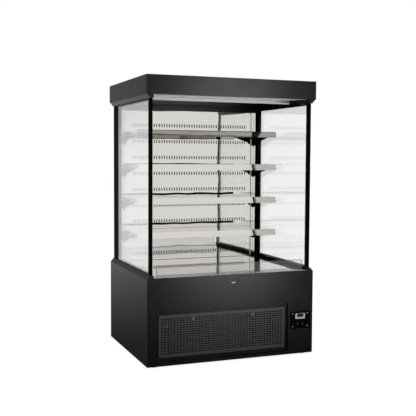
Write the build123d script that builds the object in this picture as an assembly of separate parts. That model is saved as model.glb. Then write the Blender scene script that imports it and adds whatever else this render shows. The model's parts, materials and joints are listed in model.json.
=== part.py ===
"""Open multideck display fridge: glass sides, four lift-off shelves, night blind, self-contained unit.

Millimetres. X runs along the front, the open front faces -Y, Z is up.
The origin is on the floor, under the centre of the whole fridge.
"""
from build123d import *
from math import cos, radians, sin
import os

# ---------------------------------------------------------------- overall sizes
overall_height = 1890.0
base_width = 1200.0
base_depth = 950.0
base_top = 582.0          # top edge of the front panel above the floor
canopy_height = 124.0
canopy_overhang = 5.0     # how far the canopy stands out past the base, all round
floor_gap = 12.0          # the cabinet stands this far off the floor, on its feet

# ---------------------------------------------------------------- sheet metal and fits
sheet = 1.5               # painted steel skins
thin_sheet = 1.2          # stainless linings and shelves
seam = 0.5                # gap where two skins meet edge to edge
slip = 0.3                # gap round a piece that moves past another
running_fit = 0.05        # radial gap of a pin that turns in its hole

# ---------------------------------------------------------------- cabinet frame and walls
side_panel_depth = 12.0   # width of the side panel's front and rear edge
rail_inset = 20.0         # how far the glass line stands in from the side
rail_rise = 25.0          # height of the sloped rail below and above the glass
post_width = 22.0
rail_gap = 2.0            # between the rails' inner sides and the posts
front_post_depth = 22.0
rear_post_depth = 90.0    # the posts' fronts are level with the uprights'
chassis_height = 22.0
chassis_sheet = 2.0
recess_slot = 4.0         # dark gap along the foot of the grille recess
tub_height = 187.0        # insulated well that holds the evaporator
tub_floor = 40.0
tub_wall = 41.0
tub_setback = 7.0         # behind the front panel's face
rear_wall_thickness = 40.0
duct_gap = 38.8           # air space behind the slotted duct panel
tub_ledge_width = 26.0
tub_ledge_thickness = 3.0

# ---------------------------------------------------------------- glass
pane = 4.0
pane_gap = 9.5
pane_setback = 3.0        # outer pane behind the outer face of the posts
pane_clearance = 0.5
spacer_width = 12.0

# ---------------------------------------------------------------- slotted duct panel and uprights
duct_slot_width = 8.0
duct_slot_height = 24.0
duct_slot_pitch = 20.0
duct_side_margin = 35.0   # plain metal beside the slots, at least
duct_row_pitch = 119.5
duct_foot_margin = 40.0   # plain metal below the slots, at least
duct_top_margin = 102.0   # from the panel's hem down to the first row
duct_hem = 10.0           # height of the set-back strip along the top
duct_hem_offset = 3.0
duct_cover_height = 50.0  # dark cover between the duct panel and the ceiling
upright_width = 33.0
upright_inset = 8.5       # uprights' centres in from the shelves' ends
upright_stand_off = 10.0  # uprights stand in front of the duct panel
upright_gap = 2.0
upright_rise = 8.0        # the uprights start this far above the deck
hook_slot_width = 4.0
hook_slot_height = 9.0
hook_slot_pitch = 15.0
hook_slot_margin = 20.0   # plain metal above the top slot, at least
hook_slots_below = 14     # slots from the lowest shelf's level down to the lowest slot

# ---------------------------------------------------------------- shelves
shelf_count = 4
top_shelf_room = 210.0    # least height between the top shelf and the canopy
lowest_shelf_lip = 838.0  # top of the lowest shelf's front lip above the floor
shelf_end_gap = 28.0      # shelves' ends to the side rails
shelf_rear_gap = 1.0      # shelves' backs to the uprights
shelf_depth = 381.0
shelf_upstand = 8.0
shelf_lip_height = 43.0
shelf_lip_slope = 11.0    # the lip's foot stands this far in front of its top
shelf_edge = 25.0         # side and rear turn-down
bracket_thickness = 2.0
bracket_length = 300.0
bracket_rear_height = 96.0
bracket_front_height = 24.0
bracket_knee = 105.0
bracket_knee_rise = 36.0
bracket_flange = 10.0     # width of the turned-in top edge
hook_length = 9.0
hook_height = 7.0
hook_catch = 3.0          # the hook drops this far behind the upright's face

# ---------------------------------------------------------------- deck and front riser
deck_thickness = 1.5
deck_height = 10.0        # the deck stands this far above the front panel
deck_side_gap = 3.0       # round the deck, so that it lifts out
deck_front_gap = 2.0
ledge_reach = 45.0        # back of the ledge behind the front of the base
ledge_nose = 6.0
ledge_cover = 8.0         # the front panel stands up this far in front of the ledge
riser_height = 70.0
riser_thickness = 5.0
riser_end_gap = 28.0      # riser's ends to the side rails
riser_setback = 30.0      # riser's centre behind the front of the base
riser_groove = 6.0
return_slot_width = 14.0
return_slot_length = 44.0
return_slot_pitch = 22.0
return_slot_margin = 45.0

# ---------------------------------------------------------------- front grille and controls
recess_left = 56.0        # from the left side of the base
recess_right = 190.0      # from the right side of the base
recess_top = 370.0
recess_depth = 16.0
recess_border = 24.0
grille_bottom = 65.0
grille_top = 344.0
grille_hole_width = 15.0
grille_hole_height = 8.0
grille_pitch_x = 21.5
grille_pitch_z = 15.0
grille_side_margin = 12.0 # plain metal beside the holes, at least
grille_end_margin = 19.0  # plain metal above and below the holes, at least
grille_proud = 8.0        # grille panel in front of the recess floor
grille_screw_column = 10  # columns from the middle of the grille to each screw
grille_screw_drop = 36.0
grille_screw_tab = 28.0
control_inset = 97.5      # control plate's centre in from the right side
control_centre_z = 246.5
control_plate_width = 152.0
control_plate_height = 120.0
control_screw_spacing_x = 113.0
control_screw_spacing_z = 89.0
bezel_width = 74.0
bezel_height = 38.0
bezel_thickness = 3.0
bezel_frame = 7.0         # silver edge round the display window
bezel_keys = 10.0         # extra width beside the window for the touch keys
window_depth = 0.8
bezel_rise = 27.0         # bezel's centre above the plate's centre
controller_depth = 56.0
controller_cutout_gap = 0.5
button_radius = 7.7
button_length = 20.0
button_travel = 2.0
button_margin = 0.8       # a button that is pressed in still stands this far out
button_spacing = 38.0
button_drop = 27.0        # buttons' centre below the plate's centre
button_guide_length = 10.0
button_guide_wall = 2.0
screw_head_radius = 4.0
screw_head_height = 2.0
screw_shank_radius = 2.0
screw_length = 9.0

# ---------------------------------------------------------------- canopy, lamp and night blind
canopy_flange = 20.0
canopy_corner = 2.0       # radius of the canopy's upright corners
ceiling_gap = 1.0         # round the ceiling, inside the fascias
blind_plane = -445.0      # the cloth hangs in this plane
blind_slot_width = 20.0
blind_slot_end_gap = 3.0  # slot's ends to the side rails
blind_bar_end_gap = 8.0   # pull bar's ends to the side rails
blind_bar_depth = 11.0
blind_bar_height = 16.0
blind_bar_edge = 2.0      # radius of the bar's long edges
blind_bar_hang = 1.5      # the raised bar stands this far out of the canopy
blind_grip_width = 5.0    # finger channel in the bar's underside
blind_grip_depth = 8.0
blind_grip_margin = 20.0
blind_cloth_end_gap = 16.0
blind_cloth_thickness = 1.0
roller_radius = 22.0
roller_wall = 1.5
roller_plug = 12.0        # solid end of the tube that holds the pin
roller_pin_radius = 6.0
roller_end_gap = 10.0     # tube's ends to the line of the side rails
cassette_wall = 1.5
cassette_clearance = 9.0  # round the roller
cassette_end = 4.0
cassette_end_gap = 4.0    # between the tube's end and the cassette's end
cassette_slot_gap = 0.5   # between the pull bar and the edges of the slot
honeycomb_width = 70.0
honeycomb_end_gap = 36.0
honeycomb_height = 16.0
honeycomb_cell = 11.0
honeycomb_wall = 1.6
honeycomb_end_margin = 8.0
honeycomb_side_margin = 4.0
honeycomb_gap = 6.0       # behind the blind's cassette
honeycomb_lap = 6.0       # rests this far on the ceiling all round
lamp_end_gap = 28.0       # lamp's ends to the side rails
lamp_setback = 260.0      # lamp's centre behind the front of the base
lamp_width = 34.0
lamp_housing_height = 10.0
lamp_diffuser_height = 9.0
lamp_end_cap = 2.5

# ---------------------------------------------------------------- cooling unit
coil_fin_pitch = 8.0
coil_fin_gap = 5.0
coil_fin_depth = 4.0
condenser_width = 560.0
condenser_height = 280.0
condenser_depth = 54.0
condenser_bottom = 60.0
condenser_centre_x = -150.0
fan_shroud_hole = 112.0
fan_shroud_depth = 30.0
fan_shroud_ring = 3.0
condenser_fan_radius = 104.0
condenser_fan_hub = 24.0
condenser_fan_width = 22.0
condenser_fan_blades = 5
fan_shaft_radius = 4.0
blade_tilt = 28.0         # degrees off the plane of the fan
blade_thickness = 2.0
fan_motor_radius = 36.0
fan_motor_length = 46.0
fan_strut = 8.0
compressor_radius = 84.0
compressor_height = 192.0
compressor_inset = 270.0  # compressor's axis in from the right side
compressor_y = 60.0
stub_length = 14.0        # short pipe ends on the compressor and the condenser
tray_width = 360.0
tray_depth = 290.0
tray_height = 58.0
tray_wall = 1.5
tray_inset = 300.0        # tray's centre in from the left side
tray_y = 270.0
electrical_box_size = (160.0, 180.0, 200.0)
electrical_box_inset = 122.0
electrical_box_y = -210.0
evaporator_width = 760.0
evaporator_depth = 170.0
evaporator_height = 108.0
evaporator_centre_y = 150.0
fan_plate_y = -20.0
fan_plate_clearance = 8.0
evaporator_fan_radius = 58.0
evaporator_fan_hole = 63.0
evaporator_fan_hub = 20.0
evaporator_fan_width = 18.0
evaporator_fan_blades = 7
evaporator_fan_spacing = 420.0
evaporator_motor_radius = 24.0
evaporator_motor_length = 34.0
pipe_radius = 4.0
pipe_bend = 30.0
gland_radius = 10.0
gland_bore = 4.5
gland_inset = 200.0       # gland in from the right side
gland_height = 130.0
vent_slot_width = 70.0
vent_slot_height = 6.0
vent_pitch_x = 91.0
vent_pitch_z = 18.0
vent_columns = 8
vent_rows = 6
vent_shift = -60.0        # the vents' middle is this far off the panel's, towards the left
vent_middle_height = 195.0

# ---------------------------------------------------------------- feet
foot_pad_radius = 25.0
foot_pad_height = 8.0
foot_stud_radius = 6.0
foot_stud_length = 46.0
foot_inset = 60.0
foot_nut_radius = 11.0
foot_nut_height = 10.0

# ---------------------------------------------------------------- places that follow from the sizes
half_width = base_width / 2
half_depth = base_depth / 2
front = -half_depth
canopy_bottom = overall_height - canopy_height
chassis_top = floor_gap + chassis_height
recess_foot = chassis_top + recess_slot
tub_bottom = base_top - tub_height
tub_front = front + tub_setback
glass_bottom = base_top + rail_rise
glass_top = canopy_bottom - rail_rise
post_outer = half_width - rail_inset
post_inner = post_outer - post_width
rail_inner = post_inner - rail_gap
front_post_front = front + rail_inset
front_post_back = front_post_front + front_post_depth
rear_post_back = half_depth - rail_inset
rear_post_front = rear_post_back - rear_post_depth
rear_wall_back = rear_post_back
rear_wall_front = rear_wall_back - rear_wall_thickness
duct_panel_back = rear_wall_front - duct_gap
duct_panel_front = duct_panel_back - thin_sheet
ceiling_bottom = canopy_bottom + sheet
duct_cover_bottom = canopy_bottom - duct_cover_height
duct_panel_top = duct_cover_bottom - seam
shelf_width = 2 * (rail_inner - shelf_end_gap)
upright_spacing = shelf_width - 2 * upright_inset
duct_panel_half = upright_spacing / 2 - upright_width / 2 - upright_gap
duct_slot_columns = int(2 * (duct_panel_half - duct_side_margin) / duct_slot_pitch)
duct_first_row = duct_panel_top - duct_hem - duct_top_margin
upright_front = duct_panel_front - upright_stand_off
hook_drops = (2 * hook_slot_pitch, 6 * hook_slot_pitch)
deck_top = base_top + deck_height
duct_rows = int((duct_first_row - deck_top - duct_foot_margin) / duct_row_pitch) + 1
lowest_shelf = lowest_shelf_lip - shelf_upstand
shelf_room = canopy_bottom - top_shelf_room - lowest_shelf
shelf_pitch = hook_slot_pitch * int(shelf_room / (shelf_count - 1) / hook_slot_pitch)
lowest_hook_slot = lowest_shelf - hook_slots_below * hook_slot_pitch
hook_slots = int((duct_panel_top - hook_slot_margin - lowest_hook_slot) / hook_slot_pitch) + 1
deck_half = rail_inner - deck_side_gap
return_slots = int(2 * (deck_half - return_slot_margin) / return_slot_pitch)
riser_length = 2 * (rail_inner - riser_end_gap)
ledge_back = front + ledge_reach
deck_front = ledge_back + deck_front_gap
deck_back = upright_front - deck_side_gap
shelf_back = upright_front - shelf_rear_gap
shelf_front = shelf_back - shelf_depth
blind_slot_length = 2 * (rail_inner - blind_slot_end_gap)
blind_bar_length = 2 * (rail_inner - blind_bar_end_gap)
blind_cloth_width = 2 * (rail_inner - blind_cloth_end_gap)
roller_length = 2 * (rail_inner - roller_end_gap)
honeycomb_length = 2 * (rail_inner - honeycomb_end_gap)
lamp_length = 2 * (rail_inner - lamp_end_gap)
blind_bar_bottom = canopy_bottom - blind_bar_hang
blind_bar_top = blind_bar_bottom + blind_bar_height
roller_axis_y = blind_plane + blind_cloth_thickness / 2 + slip + roller_radius
cassette_reach = roller_radius + cassette_clearance
roller_axis_z = ceiling_bottom + thin_sheet + cassette_reach
roller_pin_end = roller_length / 2 + cassette_end_gap + cassette_end
honeycomb_front = roller_axis_y + cassette_reach + honeycomb_gap
recess_floor = front + recess_depth
grille_face = recess_floor - grille_proud
recess_width = base_width - recess_left - recess_right
grille_centre_x = -half_width + recess_left + recess_width / 2
grille_centre_z = (grille_top + grille_bottom) / 2
grille_width = recess_width - 2 * recess_border
grille_height = grille_top - grille_bottom
grille_columns = int((grille_width - 2 * grille_side_margin) / grille_pitch_x)
grille_rows = int((grille_height - 2 * grille_end_margin) / grille_pitch_z)
control_centre_x = half_width - control_inset
button_proud = button_travel + button_margin
compressor_place = (half_width - compressor_inset, compressor_y)
electrical_box_place = (half_width - electrical_box_inset, electrical_box_y)
gland_place = (half_width - gland_inset, gland_height)
tray_place = (-half_width + tray_inset, tray_y)
plate_face = front - sheet


# ---------------------------------------------------------------- helpers
def block(x, y, z):
    """A box between two X, two Y and two Z places."""
    size = Box(x[1] - x[0], y[1] - y[0], z[1] - z[0])
    return Pos((x[0] + x[1]) / 2, (y[0] + y[1]) / 2, (z[0] + z[1]) / 2) * size


def rod(radius, start, end, axis):
    """A cylinder along X, Y or Z from one point to another."""
    direction = {"x": (1, 0, 0), "y": (0, 1, 0), "z": (0, 0, 1)}[axis]
    length = (Vector(*end) - Vector(*start)).dot(Vector(*direction))
    return extrude(Plane(origin=start, z_dir=direction) * Circle(radius), length)


def folded(points, thickness, side):
    """The section of a sheet bent along a line of points."""
    return make_face(offset(Polyline(*points), amount=thickness, kind=Kind.INTERSECTION, side=side))


def along_x(section, start, end):
    """Run a Y-Z section along X."""
    return extrude(Plane.YZ.offset(start) * section, end - start)


def along_y(section, start, end):
    """Run an X-Z section along Y."""
    return extrude(Plane.XZ.offset(-end) * section, end - start)


def holed(outline, hole, places):
    """A flat face with the same hole at every place."""
    holes = [(Pos(*place) * hole).face().outer_wire() for place in places]
    return Face(outline.face().outer_wire(), holes)


def grid(pitch_x, pitch_y, columns, rows, centre=(0.0, 0.0)):
    """Centres of a regular pattern."""
    places = []
    for column in range(columns):
        for row in range(rows):
            x = centre[0] + (column - (columns - 1) / 2) * pitch_x
            y = centre[1] + (row - (rows - 1) / 2) * pitch_y
            places.append((x, y))
    return places


def mirrored(shape):
    """The same piece for the other side."""
    return mirror(shape, about=Plane.YZ)


def write(name, *solids):
    """Write one sub-part, as one solid or a group of separate ones."""
    if len(solids) == 1:
        shape = solids[0]
    else:
        shape = Compound(children=[Compound(solid.solids()) for solid in solids])
    export_step(shape, os.path.join("parts", name + ".step"))


# ---------------------------------------------------------------- base
def foot_places():
    """Where the four levelling feet stand."""
    x = half_width - foot_inset
    y = half_depth - foot_inset
    return [(-x, -y), (x, -y), (x, y), (-x, y)]


def base_chassis():
    """Steel floor with a turned-down skirt and four nuts for the feet."""
    half = half_width - side_panel_depth
    depth = half_depth - sheet
    outer = block((-half, half), (-depth, depth), (floor_gap, chassis_top))
    inner_x = half - chassis_sheet
    inner_y = depth - chassis_sheet
    hollow = block((-inner_x, inner_x), (-inner_y, inner_y), (floor_gap, chassis_top - chassis_sheet))
    chassis = outer - hollow
    for x, y in foot_places():
        chassis += rod(foot_nut_radius, (x, y, chassis_top), (x, y, chassis_top + foot_nut_height), "z")
    for x, y in foot_places():
        top = chassis_top + foot_nut_height
        chassis -= rod(foot_stud_radius + running_fit, (x, y, floor_gap), (x, y, top), "z")
    return chassis


def levelling_foot(x, y):
    """Threaded stud with a wide pad that stands on the floor and a hexagon to turn it by."""
    pad = rod(foot_pad_radius, (x, y, 0), (x, y, foot_pad_height), "z")
    pad = chamfer(pad.edges().group_by(Axis.Z)[-1], foot_pad_height / 3)
    stud = rod(foot_stud_radius, (x, y, foot_pad_height), (x, y, foot_stud_length), "z")
    hexagon_height = chassis_top - chassis_sheet - foot_pad_height - 4.0
    hexagon = extrude(Plane((x, y, foot_pad_height)) * RegularPolygon(foot_nut_radius, 6), hexagon_height)
    return pad + stud + hexagon


def rail_section(top_up):
    """Bent section that carries the glass: slope, flat seat and inner leg."""
    if top_up:
        low, high = base_top, glass_bottom
    else:
        low, high = canopy_bottom, glass_top
    return [(half_width, low), (post_outer, high), (rail_inner, high), (rail_inner, low)]


def base_side_panel():
    """Right side: outer skin, bottom and end returns, sloped rail and glass seat, ledge for the well."""
    edge = half_width - side_panel_depth
    line = [(edge, floor_gap), (half_width, floor_gap)] + rail_section(True)
    panel = along_y(folded(line, sheet, Side.LEFT), front, half_depth)
    cap = make_face(Polyline(*rail_section(True), close=True))
    for y in (front, half_depth - sheet):
        panel += block((edge, half_width - sheet / 2), (y, y + sheet), (floor_gap, base_top))
        panel += along_y(cap, y, y + sheet)
    ledge_x = (half_width - tub_ledge_width, half_width - sheet / 2)
    ledge_y = (front + rail_inset, half_depth - rail_inset)
    panel += block(ledge_x, ledge_y, (tub_bottom - tub_ledge_thickness, tub_bottom))
    return panel


def base_front_panel():
    """Front skin with the grille's recess, the control opening, a top flange and a rim before the ledge."""
    half = half_width - side_panel_depth - seam
    left = -half_width + recess_left
    right = left + recess_width
    through = (front - 1.0, recess_floor + sheet + 1.0)
    skin = block((-half, half), (front, front + sheet), (floor_gap, base_top))
    skin += block((-half, half), (front, tub_front - seam), (base_top - sheet, base_top))
    rim_half = rail_inner - seam
    skin += block((-rim_half, rim_half), (front, front + sheet), (base_top - sheet, base_top + ledge_cover))
    skin -= block((left, right), through, (chassis_top, recess_top))
    wall_y = (front, recess_floor + sheet)
    skin += block((left - sheet, left), wall_y, (chassis_top, recess_top + sheet))
    skin += block((right, right + sheet), wall_y, (chassis_top, recess_top + sheet))
    skin += block((left, right), wall_y, (recess_top, recess_top + sheet))
    skin += block((left, right), (recess_floor, recess_floor + sheet), (recess_foot, recess_top))
    holes_x = grille_columns * grille_pitch_x / 2
    holes_z = grille_rows * grille_pitch_z / 2
    opening_x = (grille_centre_x - holes_x, grille_centre_x + holes_x)
    skin -= block(opening_x, through, (grille_centre_z - holes_z, grille_centre_z + holes_z))
    for x, z in grille_screw_places():
        tab_x = (x - grille_screw_tab / 2, x + grille_screw_tab / 2)
        tab_z = (z - grille_screw_tab / 2, grille_centre_z + holes_z + sheet)
        skin += block(tab_x, (recess_floor, recess_floor + sheet), tab_z)
        skin -= rod(screw_shank_radius, (x, through[0], z), (x, through[1], z), "y")
    margin = screw_head_radius + screw_shank_radius
    for x, z in control_screw_places():
        skin -= rod(screw_shank_radius, (x, through[0], z), (x, through[1], z), "y")
    window_x = control_screw_spacing_x / 2 - margin
    window_z = control_screw_spacing_z / 2 - margin
    across = (control_centre_x - window_x, control_centre_x + window_x)
    upright_span = (control_centre_z - window_z, control_centre_z + window_z)
    skin -= block(across, through, upright_span)
    return skin - controller_cutout(controller_cutout_gap)


def control_screw_places():
    """The four screws at the corners of the control plate."""
    centre = (control_centre_x, control_centre_z)
    return grid(control_screw_spacing_x, control_screw_spacing_z, 2, 2, centre)


def grille_screw_places():
    """The two screws near the top edge of the grille."""
    reach = grille_screw_column * grille_pitch_x
    z = grille_top - grille_screw_drop
    return [(grille_centre_x - reach, z), (grille_centre_x + reach, z)]


def grille_panel():
    """Perforated cover in front of the condenser, with a turned-back edge all round."""
    screws = [(x - grille_centre_x, z - grille_centre_z) for x, z in grille_screw_places()]
    places = []
    for x, z in grid(grille_pitch_x, grille_pitch_z, grille_columns, grille_rows):
        near = [s for s in screws if abs(s[0] - x) < grille_pitch_x / 2 and abs(s[1] - z) < grille_pitch_z]
        if not near:
            places.append((x, z))
    outline = Rectangle(grille_width, grille_height)
    face = holed(outline, Rectangle(grille_hole_width, grille_hole_height), places)
    spot = Pos(grille_centre_x, grille_centre_z)
    panel = along_y(spot * face, grille_face, grille_face + thin_sheet)
    rim = outline - Rectangle(grille_width - 2 * thin_sheet, grille_height - 2 * thin_sheet)
    panel += along_y(spot * rim, grille_face, recess_floor)
    for x, z in grille_screw_places():
        panel -= rod(screw_shank_radius, (x, grille_face - 1.0, z), (x, recess_floor, z), "y")
    return panel


def panel_screw(x, face, z):
    """Pan-head screw with its head in front of the given face."""
    head = rod(screw_head_radius, (x, face - screw_head_height, z), (x, face, z), "y")
    head = fillet(head.edges().group_by(Axis.Y)[0], screw_head_height * 0.45)
    slot = block((x - 3.0, x + 3.0), (face - screw_head_height - 1.0, face - 1.3), (z - 0.5, z + 0.5))
    return head - slot + rod(screw_shank_radius, (x, face - 0.5, z), (x, face + screw_length, z), "y")


def panel_screws():
    """Four screws on the control plate and two on the grille."""
    screws = []
    for x, z in control_screw_places():
        screws.append(panel_screw(x, plate_face, z))
    for x, z in grille_screw_places():
        screws.append(panel_screw(x, grille_face, z))
    return screws


def rear_service_panel():
    """Rear skin of the machine space with rows of vent slots and the cord gland's hole."""
    half = half_width - side_panel_depth - seam
    height = base_top - floor_gap
    vents_up = vent_middle_height - (base_top + floor_gap) / 2
    vents = grid(vent_pitch_x, vent_pitch_z, vent_columns, vent_rows, (vent_shift, vents_up))
    face = holed(Rectangle(2 * half, height), SlotOverall(vent_slot_width, vent_slot_height), vents)
    back = half_depth
    panel = along_y(Pos(0, (base_top + floor_gap) / 2) * face, back - sheet, back)
    panel += block((-half, half), (rear_wall_back + 1.0, back), (base_top - sheet, base_top))
    x, z = gland_place
    return panel - rod(gland_radius, (x, back - 5.0, z), (x, back + 5.0, z), "y")


def cord_gland():
    """Gland in the rear panel where the supply lead would enter."""
    x, z = gland_place
    inside = rod(gland_radius, (x, half_depth - 16.0, z), (x, half_depth + 0.0, z), "y")
    nut = extrude(Plane((x, half_depth - sheet - 6.0, z), z_dir=(0, 1, 0)) * RegularPolygon(15.0, 6), 6.0)
    cap = rod(gland_radius + 3.0, (x, half_depth, z), (x, half_depth + 4.0, z), "y")
    return inside + nut + cap - rod(gland_bore, (x, half_depth - 17.0, z), (x, half_depth + 5.0, z), "y")


def insulated_tub():
    """Foamed well under the deck, open at the top."""
    half = half_width - side_panel_depth - 2.0
    outer = block((-half, half), (tub_front, rear_wall_back), (tub_bottom, base_top))
    cavity_y = (ledge_back, rear_wall_front)
    cavity_half = half - tub_wall
    return outer - block((-cavity_half, cavity_half), cavity_y, (tub_bottom + tub_floor, base_top))


# ---------------------------------------------------------------- frame, walls and glass
def front_post():
    """Right front post."""
    post = block((post_inner, post_outer), (front_post_front, front_post_back), (glass_bottom, glass_top))
    return fillet(post.edges().filter_by(Axis.Z), 1.0)


def rear_post():
    """Right rear post."""
    post = block((post_inner, post_outer), (rear_post_front, rear_post_back), (glass_bottom, glass_top))
    return fillet(post.edges().filter_by(Axis.Z), 1.0)


def top_rail_frame():
    """Sloped rails above the side glass, and the dark cover of the rear air duct between them."""
    section = folded(rail_section(False), sheet, Side.RIGHT)
    cap = make_face(Polyline(*rail_section(False), close=True))
    rail = along_y(section & cap, front, half_depth)
    for y in (front, half_depth - sheet):
        rail += along_y(cap, y, y + sheet)
    cover_y = (duct_panel_front, duct_panel_front + sheet)
    cover = block((-rail_inner, rail_inner), cover_y, (duct_cover_bottom, ceiling_bottom))
    return rail, mirrored(rail), cover


def side_panes():
    """Right double glazing: outer and inner pane."""
    y = (front_post_back + pane_clearance, rear_post_front - pane_clearance)
    z = (glass_bottom + pane_clearance, glass_top - pane_clearance)
    outer = post_outer - pane_setback
    inner = outer - pane - pane_gap
    return [block((outer - pane, outer), y, z), block((inner - pane, inner), y, z)]


def glass_spacer():
    """Right spacer frame between the two panes."""
    length = rear_post_front - front_post_back - 2 * pane_clearance
    height = glass_top - glass_bottom - 2 * pane_clearance
    centre = Pos((rear_post_front + front_post_back) / 2, (glass_top + glass_bottom) / 2)
    ring = Rectangle(length, height) - Rectangle(length - 2 * spacer_width, height - 2 * spacer_width)
    outer = post_outer - pane_setback - pane
    return along_x(centre * ring, outer - pane_gap, outer)


def rear_wall():
    """Insulated rear wall between the rear posts."""
    half = rail_inner
    return block((-half, half), (rear_wall_front, rear_wall_back), (base_top, ceiling_bottom))


def duct_panel():
    """Slotted stainless panel in front of the rear air duct, with a set-back hem along its top."""
    top = duct_panel_top - duct_hem
    height = top - deck_top
    centre_z = (top + deck_top) / 2
    rows_centre = duct_first_row - duct_row_pitch * (duct_rows - 1) / 2 - centre_z
    places = grid(duct_slot_pitch, duct_row_pitch, duct_slot_columns, duct_rows, (0.0, rows_centre))
    hole = Rectangle(duct_slot_width, duct_slot_height)
    face = holed(Rectangle(2 * duct_panel_half, height), hole, places)
    panel = along_y(Pos(0, centre_z) * face, duct_panel_front, duct_panel_back)
    wide = (-duct_panel_half, duct_panel_half)
    hem_back = duct_panel_back + duct_hem_offset
    panel += block(wide, (duct_panel_front, hem_back), (top - thin_sheet, top))
    return panel + block(wide, (hem_back - thin_sheet, hem_back), (top - thin_sheet, duct_panel_top))


def upright():
    """Right slotted channel that the shelf brackets hook into."""
    centre = upright_spacing / 2
    bottom = deck_top + upright_rise
    top = duct_panel_top
    x = (centre - upright_width / 2, centre + upright_width / 2)
    channel = block(x, (upright_front, rear_wall_front), (bottom, top))
    inner = (x[0] + sheet, x[1] - sheet)
    channel -= block(inner, (upright_front + sheet, rear_wall_front + 1.0), (bottom - 1.0, top + 1.0))
    spots = [(centre, z) for z in hook_slot_levels()]
    slots = Sketch() + [Pos(*spot) * Rectangle(hook_slot_width, hook_slot_height) for spot in spots]
    return channel - along_y(slots, upright_front - 1.0, upright_front + sheet + 1.0)


def hook_slot_levels():
    """Heights of the slots' centres: one is level with each hook of the lowest shelf."""
    return [lowest_hook_slot + step * hook_slot_pitch for step in range(hook_slots)]


# ---------------------------------------------------------------- shelves
def shelf_surface(number):
    """Height of the top surface of shelf 1 (lowest) to 4 (highest)."""
    return lowest_shelf + (number - 1) * shelf_pitch


def shelf(number):
    """Folded stainless shelf with a raised, outward-sloped front lip."""
    top = shelf_surface(number)
    lip_top = top + shelf_upstand
    lip_foot = shelf_front - shelf_lip_slope
    line = [(shelf_back, top - shelf_edge), (shelf_back, top), (shelf_front + 1.0, top)]
    line += [(shelf_front, lip_top), (lip_foot, lip_top - shelf_lip_height)]
    line += [(lip_foot + 9.0, lip_top - shelf_lip_height)]
    half = shelf_width / 2
    pan = along_x(folded(line, thin_sheet, Side.LEFT), -half, half)
    end = [(shelf_back, top - shelf_edge), (shelf_back, top), (shelf_front + 2.0, top)]
    end += [(shelf_front - 2.0, top - shelf_edge)]
    side_face = make_face(Polyline(*end, close=True))
    pan += along_x(side_face, -half, -half + thin_sheet)
    pan += along_x(side_face, half - thin_sheet, half)
    notch_z = (top - shelf_edge - 1.0, top - thin_sheet)
    notch = block(bracket_span(slip), (shelf_back - 3.0, shelf_back + 1.0), notch_z)
    return pan - notch - mirrored(notch)


def bracket_span(gap):
    """Left and right limits of the right bracket with its turned-in top, with a gap on both sides."""
    plate_right = upright_spacing / 2 + bracket_thickness / 2
    return plate_right - bracket_flange - gap, plate_right + gap


def shelf_bracket(number):
    """Right bracket plate under a shelf, with two hooks that pass through the upright's slots."""
    top = shelf_surface(number) - thin_sheet
    back = shelf_back + seam
    nose = back - bracket_length
    plate = make_face(Polyline(
        (back, top),
        (back, top - bracket_rear_height),
        (back - bracket_knee, top - bracket_rear_height + bracket_knee_rise),
        (nose, top - bracket_front_height),
        (nose, top),
        close=True,
    ))
    wall = upright_front + sheet + slip
    for drop in hook_drops:
        slot_foot = shelf_surface(number) - drop - hook_slot_height / 2
        plate += make_face(Polyline(
            (back - 1.0, slot_foot + hook_height),
            (back + hook_length, slot_foot + hook_height),
            (back + hook_length, slot_foot - hook_catch),
            (wall, slot_foot - hook_catch),
            (wall, slot_foot),
            (back - 1.0, slot_foot),
            close=True,
        ))
    plate_right = upright_spacing / 2 + bracket_thickness / 2
    bracket = along_x(plate, plate_right - bracket_thickness, plate_right)
    flange = block(bracket_span(0.0), (nose, back - bracket_flange), (top - bracket_thickness, top))
    return bracket + flange


# ---------------------------------------------------------------- deck and riser
def front_ledge():
    """Stainless nose along the front of the well, with a groove that holds the riser."""
    y = (front + sheet + seam, ledge_back)
    bar = block((-rail_inner + seam, rail_inner - seam), y, (base_top, deck_top))
    nose = bar.edges().filter_by(Axis.X).sort_by(lambda edge: edge.center().Z - edge.center().Y)[-1]
    bar = fillet(nose, ledge_nose)
    riser_y = front + riser_setback
    groove_y = (riser_y - riser_thickness / 2, riser_y + riser_thickness / 2)
    groove_z = (deck_top - riser_groove, deck_top + 1.0)
    groove = block((-riser_length / 2, riser_length / 2), groove_y, groove_z)
    return bar - groove


def front_riser():
    """Clear upstand that keeps the goods and the cold air behind the front edge."""
    riser_y = front + riser_setback
    y = (riser_y - riser_thickness / 2, riser_y + riser_thickness / 2)
    z = (deck_top - riser_groove, deck_top + riser_height)
    riser = block((-riser_length / 2, riser_length / 2), y, z)
    return fillet(riser.edges().filter_by(Axis.Y).group_by(Axis.Z)[-1], 6.0)


def deck_pan():
    """Lift-out stainless deck over the well, with air-return slots behind the front ledge."""
    top = (deck_top - deck_thickness, deck_top)
    outline = Rectangle(2 * deck_half, deck_back - deck_front)
    slot_y = deck_front + 16.0 + return_slot_length / 2 - (deck_back + deck_front) / 2
    places = grid(return_slot_pitch, 1.0, return_slots, 1, (0.0, slot_y))
    slot = SlotOverall(return_slot_length, return_slot_width, rotation=90)
    face = holed(outline, slot, places)
    spot = Plane((0, (deck_back + deck_front) / 2, top[0]))
    pan = extrude(spot * face, deck_thickness)
    rim = outline - Rectangle(2 * (deck_half - deck_thickness), deck_back - deck_front - 2 * deck_thickness)
    rim_height = deck_height - deck_thickness / 2 - slip
    return pan + extrude(Plane((0, (deck_back + deck_front) / 2, base_top + slip)) * rim, rim_height)


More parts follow.
